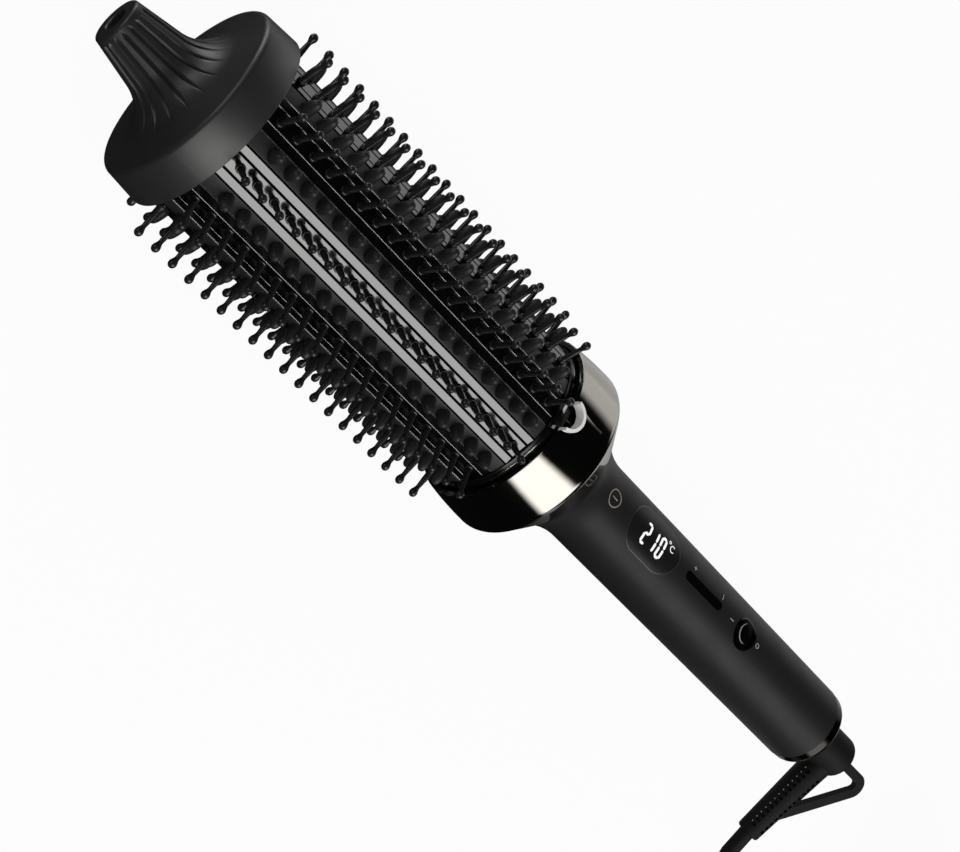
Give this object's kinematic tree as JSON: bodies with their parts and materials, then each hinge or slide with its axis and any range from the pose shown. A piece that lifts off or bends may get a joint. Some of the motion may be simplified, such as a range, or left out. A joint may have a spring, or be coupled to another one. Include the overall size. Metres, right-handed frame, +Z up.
{
  "type": "heated round styling brush",
  "caption": "Heated round hair styling brush with plates, pins and fins on a ribbed barrel, a cool tip, a slim handle with two rockers, an ion outlet and a swivel cord.",
  "frame": {"origin": "middle of the brush's bounding box, on the surface under its lowest row of pins", "axes": "+X along the brush from the cool tip to the cord, +Z up through the side of the handle that carries the display and the rockers"},
  "size_m": [0.5447, 0.1002, 0.0688],
  "materials": {
    "cool_tip": "satin",
    "black_plastic": "matte",
    "steel": "satin",
    "carrier": "matte",
    "channel_plastic": "satin",
    "strip_plastic": "satin",
    "plate_metal": "polished",
    "pin_plastic": "satin",
    "spreader_metal": "satin",
    "sensor": "satin",
    "wire": "matte",
    "flange_plastic": "satin",
    "bright_metal": "polished",
    "dark_metal": "mirror polished",
    "electronics": "matte",
    "handle_plastic": "soft touch",
    "gloss_black": "gloss",
    "cord_rubber": "matte",
    "plug_plastic": "matte"
  },
  "bodies": {
    "brush": {"tip_cap": "cool_tip", "tip_insulator": "black_plastic", "handle_chassis": "black_plastic", "swivel_socket": "black_plastic", "power_switch": "black_plastic", "tip_screw": "steel", "ion_emitter": "steel", "head_carrier": "carrier", "channel_strip_1": "channel_plastic", "channel_strip_2": "channel_plastic", "channel_strip_3": "channel_plastic", "channel_strip_4": "channel_plastic", "channel_strip_5": "channel_plastic", "fin_strip_1_left": "strip_plastic", "fin_strip_1_right": "strip_plastic", "fin_strip_2_left": "strip_plastic", "fin_strip_2_right": "strip_plastic", "fin_strip_3_left": "strip_plastic", "fin_strip_3_right": "strip_plastic", "fin_strip_4_left": "strip_plastic", "fin_strip_4_right": "strip_plastic", "fin_strip_5_left": "strip_plastic", "fin_strip_5_right": "strip_plastic", "heat_plate_1": "plate_metal", "heat_plate_2": "plate_metal", "heat_plate_3": "plate_metal", "heat_plate_4": "plate_metal", "heat_plate_5": "plate_metal", "pin_strip_1": "pin_plastic", "pin_strip_2": "pin_plastic", "pin_strip_3": "pin_plastic", "pin_strip_4": "pin_plastic", "pin_strip_5": "pin_plastic", "heat_spreader_upper": "spreader_metal", "heat_spreader_lower": "spreader_metal", "ptc_heater": "spreader_metal", "thermal_fuse": "sensor", "thermistor": "sensor", "mains_wires": "wire", "head_flange": "flange_plastic", "flange_ring": "bright_metal", "ion_outlet": "bright_metal", "collar": "dark_metal", "tail_ring": "dark_metal", "ion_module": "electronics", "display_module": "electronics", "control_board": "electronics", "temperature_switches": "electronics", "handle_sleeve": "handle_plastic", "display_window": "gloss_black"},
    "power_rocker": {"power_rocker": "gloss_black"},
    "temperature_rocker": {"temperature_rocker": "gloss_black"},
    "cord_swivel": {"swivel_shaft": "steel", "cord_boot": "cord_rubber", "cord_lead": "cord_rubber", "cord_coil": "cord_rubber", "cord_tail": "cord_rubber", "cord_tie": "cord_rubber", "plug_body": "plug_plastic", "plug_pins": "steel"}
  },
  "joints": [
    {"name": "power_rocker_tilt", "type": "hinge", "parent": "brush", "child": "power_rocker", "pos_m": [0.08505, 0, 0.0459], "axis": [0, 1, 0], "range_deg": [-14, 0]},
    {"name": "temperature_rocker_tilt", "type": "hinge", "parent": "brush", "child": "temperature_rocker", "pos_m": [0.06175, 0, 0.0443], "axis": [0, 1, 0], "range_deg": [-2.5, 2.5], "stiffness_Nm_per_rad": 0.03},
    {"name": "cord_swivel_turn", "type": "hinge", "parent": "brush", "child": "cord_swivel", "pos_m": [0.14235, 0, 0.0344], "axis": [1, 0, 0], "continuous": true}
  ]
}
